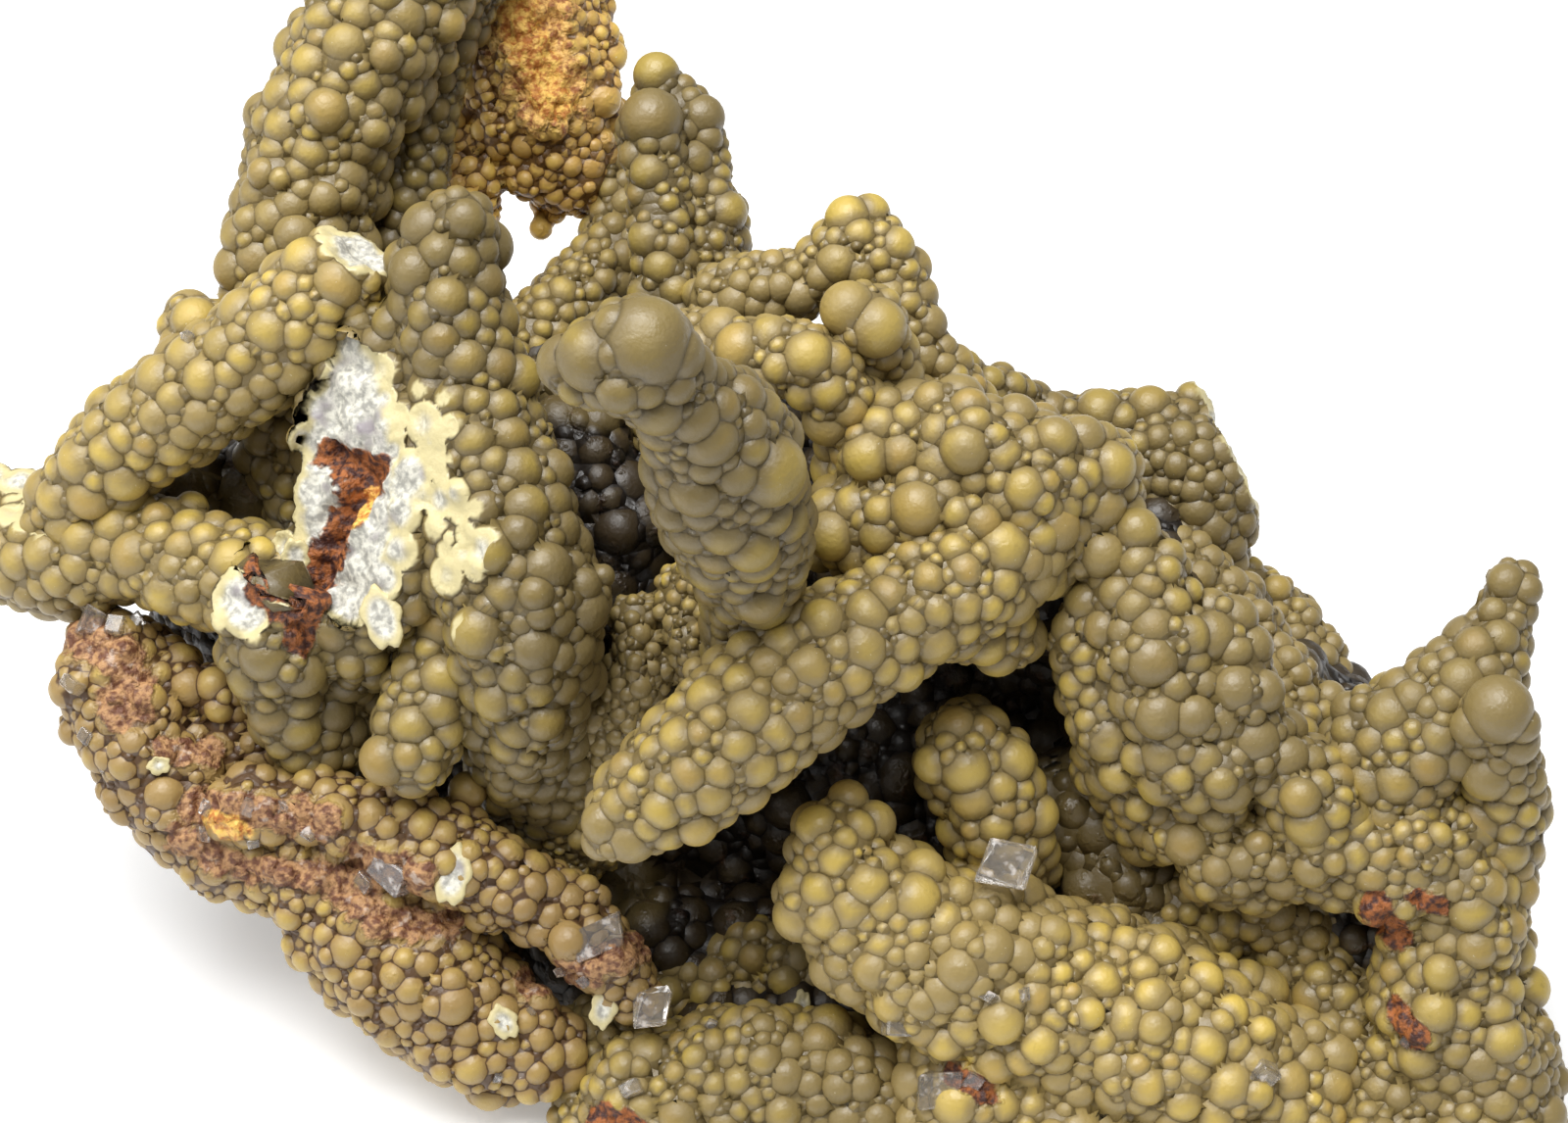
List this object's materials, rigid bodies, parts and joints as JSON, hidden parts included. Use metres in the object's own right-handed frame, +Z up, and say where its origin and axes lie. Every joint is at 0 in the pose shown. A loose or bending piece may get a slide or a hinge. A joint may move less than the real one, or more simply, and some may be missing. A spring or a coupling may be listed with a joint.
{
  "type": "mineral specimen",
  "caption": "Coral-like botryoidal arsendescloizite specimen: knobbly olive fingers on a lumpy, partly rusty crust with small clear crystals.",
  "frame": {"origin": "on the flat resting face of the matrix, below the middle of the specimen", "axes": "+Z up, +X to the right as seen in the picture, +Y away from the viewer"},
  "size_m": [0.088, 0.0621, 0.05],
  "materials": {
    "olive_crust": "waxy",
    "brown_matrix": "rough",
    "rusty_crust": "rough",
    "orange_rust": "rough",
    "clear_crystal": "glossy"
  },
  "bodies": {
    "root": {"front_crust": "olive_crust", "right_crust": "olive_crust", "bottom_crust": "olive_crust", "broken_pillar": "olive_crust", "back_left_branch": "olive_crust", "near_finger": "olive_crust", "long_finger": "olive_crust", "ridge": "olive_crust", "right_slope_finger": "olive_crust", "left_arm": "olive_crust", "left_lower_arm": "olive_crust", "ribbed_finger": "olive_crust", "back_right_branch": "olive_crust", "right_horn": "olive_crust", "top_arch": "olive_crust", "bent_finger": "olive_crust", "twin_ball_finger": "olive_crust", "grey_finger": "olive_crust", "shadow_limb": "olive_crust", "arch_limb": "olive_crust", "right_knob": "olive_crust", "back_right_crust": "olive_crust", "inner_knob": "olive_crust", "small_stalk": "olive_crust", "matrix": "brown_matrix", "left_crust": "rusty_crust", "rusty_mass": "orange_rust", "rhomb_crystal": "clear_crystal", "square_crystal": "clear_crystal", "plate_crystal": "clear_crystal", "edge_crystal": "clear_crystal", "upper_pale_crystal": "clear_crystal", "lower_pale_crystal": "clear_crystal"}
  },
  "joints": []
}
